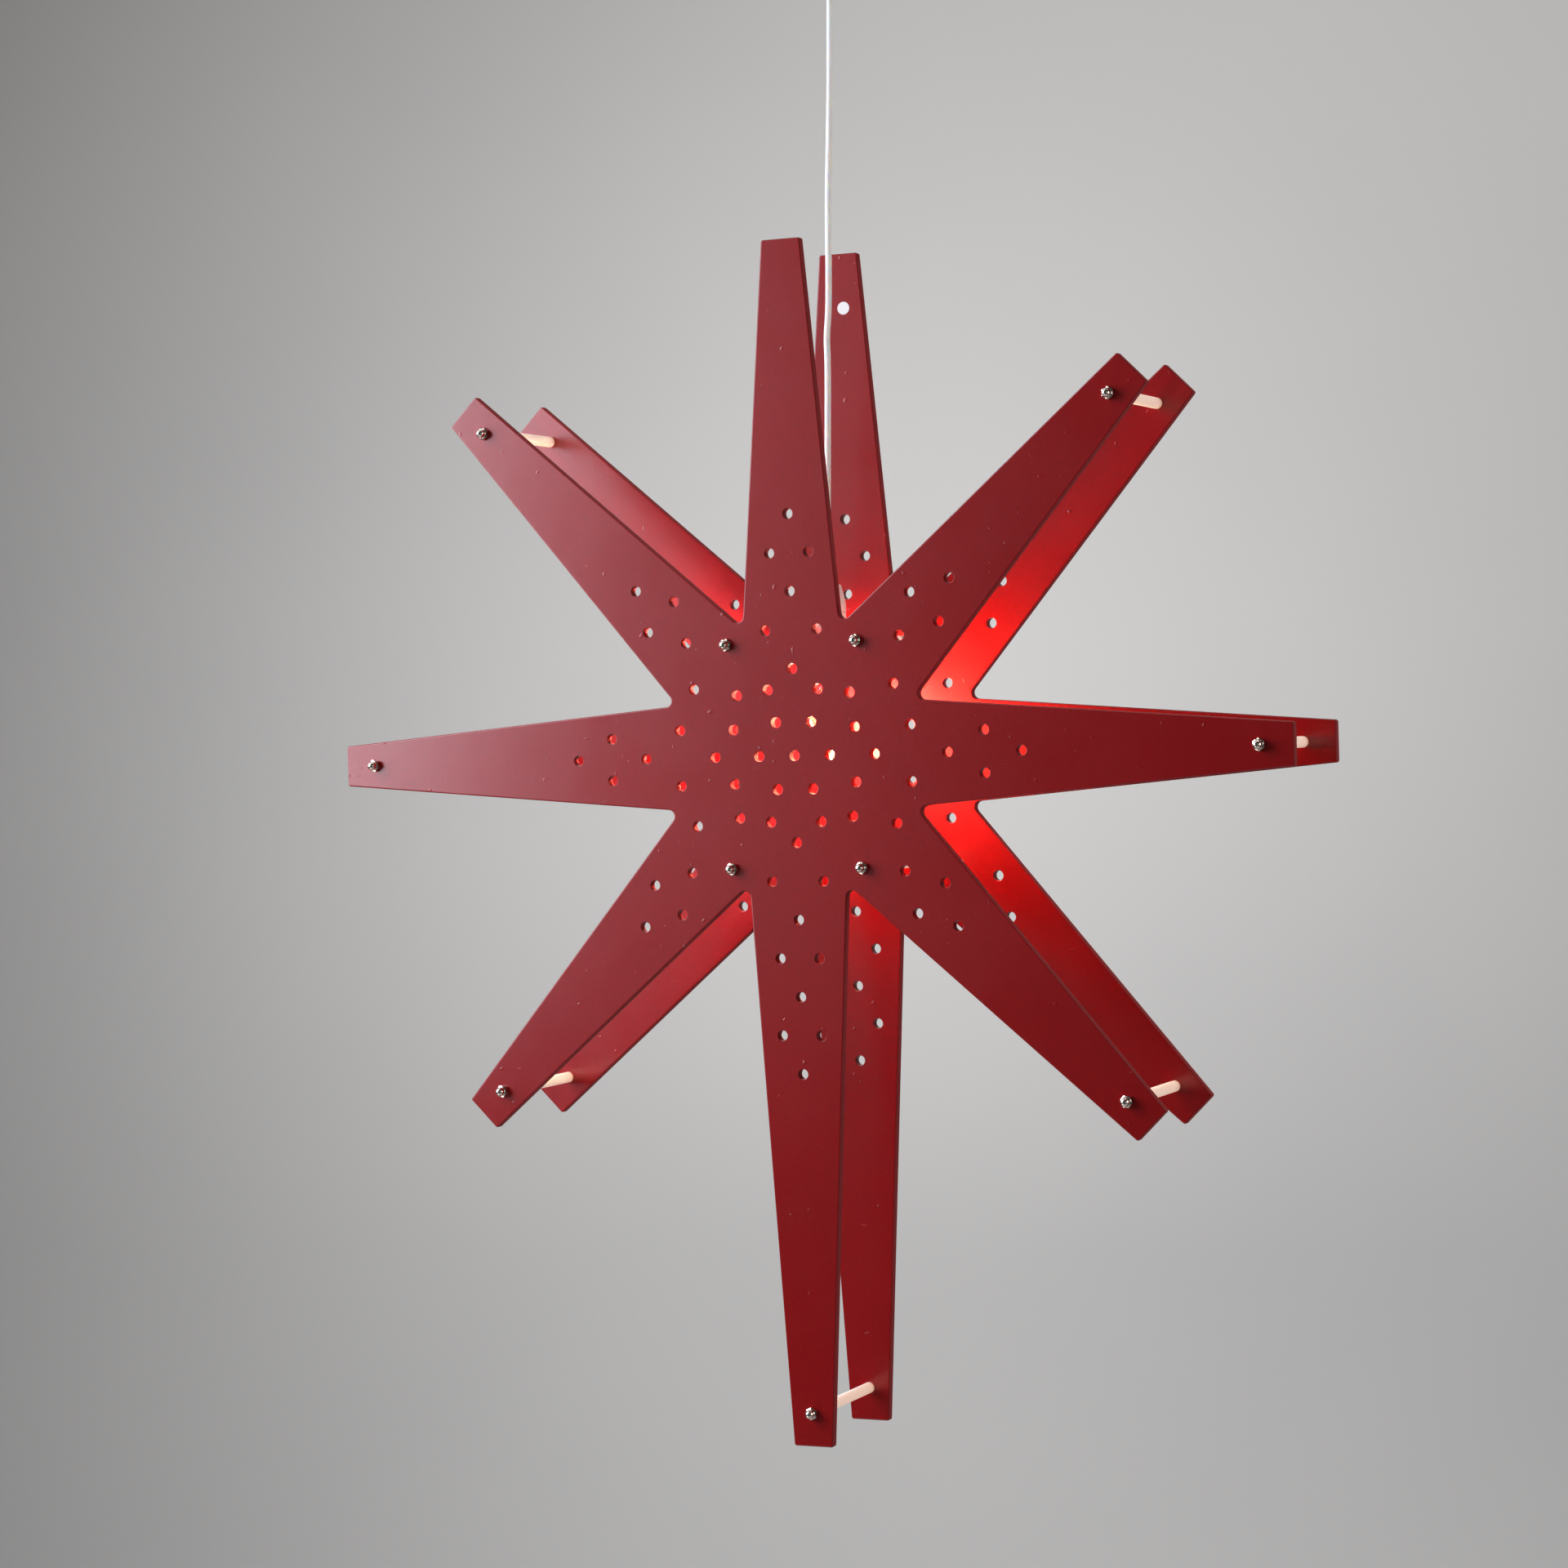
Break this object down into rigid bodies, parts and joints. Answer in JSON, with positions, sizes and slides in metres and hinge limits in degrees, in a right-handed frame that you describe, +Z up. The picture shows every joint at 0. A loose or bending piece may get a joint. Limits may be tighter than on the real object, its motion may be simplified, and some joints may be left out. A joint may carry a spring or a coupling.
{
  "type": "hanging star lantern",
  "caption": "Hanging star lantern: two pierced eight-pointed painted plates held apart by tube spacers and acorn nuts round a clear bulb, on a white cord from a ceiling cup.",
  "frame": {"origin": "on the ceiling, in the middle of the ceiling bracket, above the plumb cord", "axes": "+Z up along the plumb cord, front plate faces -Y, +X to the right seen from the front"},
  "size_m": [0.6404, 0.1079, 1.0023],
  "materials": {
    "red_paint": "satin dark red paint on board",
    "spacer_plastic": "matt white tube",
    "nickel": "bright nickel plate",
    "steel": "zinc-plated screw steel",
    "zinc_steel": "zinc-plated sheet and wire",
    "label_paper": "matt white label, blank",
    "holder_plastic": "white moulded holder",
    "insert_ceramic": "unglazed white ceramic",
    "brass": "bright brass",
    "cap_metal": "rolled thread cap",
    "black_glass": "black glass insulator",
    "clear_glass": "clear bulb glass",
    "stem_glass": "clear stem glass",
    "filament_glow": "lit filament",
    "bulb_wire": "nickel support wire",
    "cup_plastic": "white moulded plastic",
    "cord_white": "white cord sheath",
    "lead_brown": "brown core",
    "lead_blue": "blue core"
  },
  "bodies": {
    "ceiling": {"ceiling_bracket": "zinc_steel", "ceiling_cup": "cup_plastic", "ceiling_hook": "zinc_steel", "cup_screws": "steel"},
    "ring": {"hanger_ring": "zinc_steel"},
    "pendant": {"cord_hanger": "cup_plastic", "pendant_cord": "cord_white", "supply_leads": "lead_brown", "terminal_block": "cup_plastic", "terminal_screws": "steel"},
    "star": {"acorn_nuts": "nickel", "back_plate": "red_paint", "blue_lead": "lead_blue", "brown_lead": "lead_brown", "centre_contact": "brass", "contact_insert": "insert_ceramic", "contact_screws": "steel", "cord_grip": "holder_plastic", "front_plate": "red_paint", "holder_body": "holder_plastic", "holder_cap": "holder_plastic", "inner_spacer_long_left": "spacer_plastic", "inner_spacer_long_right": "spacer_plastic", "inner_spacer_lower_left": "spacer_plastic", "inner_spacer_lower_right": "spacer_plastic", "inner_spacer_short_left": "spacer_plastic", "inner_spacer_short_right": "spacer_plastic", "lamp_bracket": "zinc_steel", "lower_ring_nut": "holder_plastic", "machine_screws": "steel", "round_label": "label_paper", "threaded_shell": "brass", "tip_spacer_bottom": "spacer_plastic", "tip_spacer_left": "spacer_plastic", "tip_spacer_lower_left": "spacer_plastic", "tip_spacer_lower_right": "spacer_plastic", "tip_spacer_right": "spacer_plastic", "tip_spacer_upper_left": "spacer_plastic", "tip_spacer_upper_right": "spacer_plastic", "upper_ring_nut": "holder_plastic"},
    "bulb_foot": {"bulb_contact": "brass", "bulb_insulator": "black_glass"},
    "bulb": {"bulb_cap_shell": "cap_metal", "bulb_filaments": "filament_glow", "bulb_glass": "clear_glass", "bulb_stem": "stem_glass", "bulb_wires": "bulb_wire"}
  },
  "joints": [
    {"name": "swing_fore_aft", "type": "hinge", "parent": "ceiling", "child": "ring", "pos_m": [0, 0, -0.027], "axis": [1, 0, 0], "range_deg": [-5, 5]},
    {"name": "swing_sideways", "type": "hinge", "parent": "ring", "child": "pendant", "pos_m": [0, 0, -0.0378], "axis": [0, 1, 0], "range_deg": [-5, 5]},
    {"name": "star_turn", "type": "hinge", "parent": "pendant", "child": "star", "pos_m": [0, 0, -0.4515], "axis": [0, 0, 1], "range_deg": [-180, 180]},
    {"name": "bulb_unscrew", "type": "slide", "parent": "star", "child": "bulb_foot", "axis": [0, 0, -1], "range_m": [0, 0.01129]},
    {"name": "bulb_turn", "type": "hinge", "parent": "bulb_foot", "child": "bulb", "pos_m": [0, 0, -0.5], "axis": [0, 0, -1], "range_deg": [0, 1441]}
  ],
  "couplings": [
    {"joint": "bulb_turn", "follows": "bulb_unscrew", "rad_per_m": 2226.5}
  ]
}
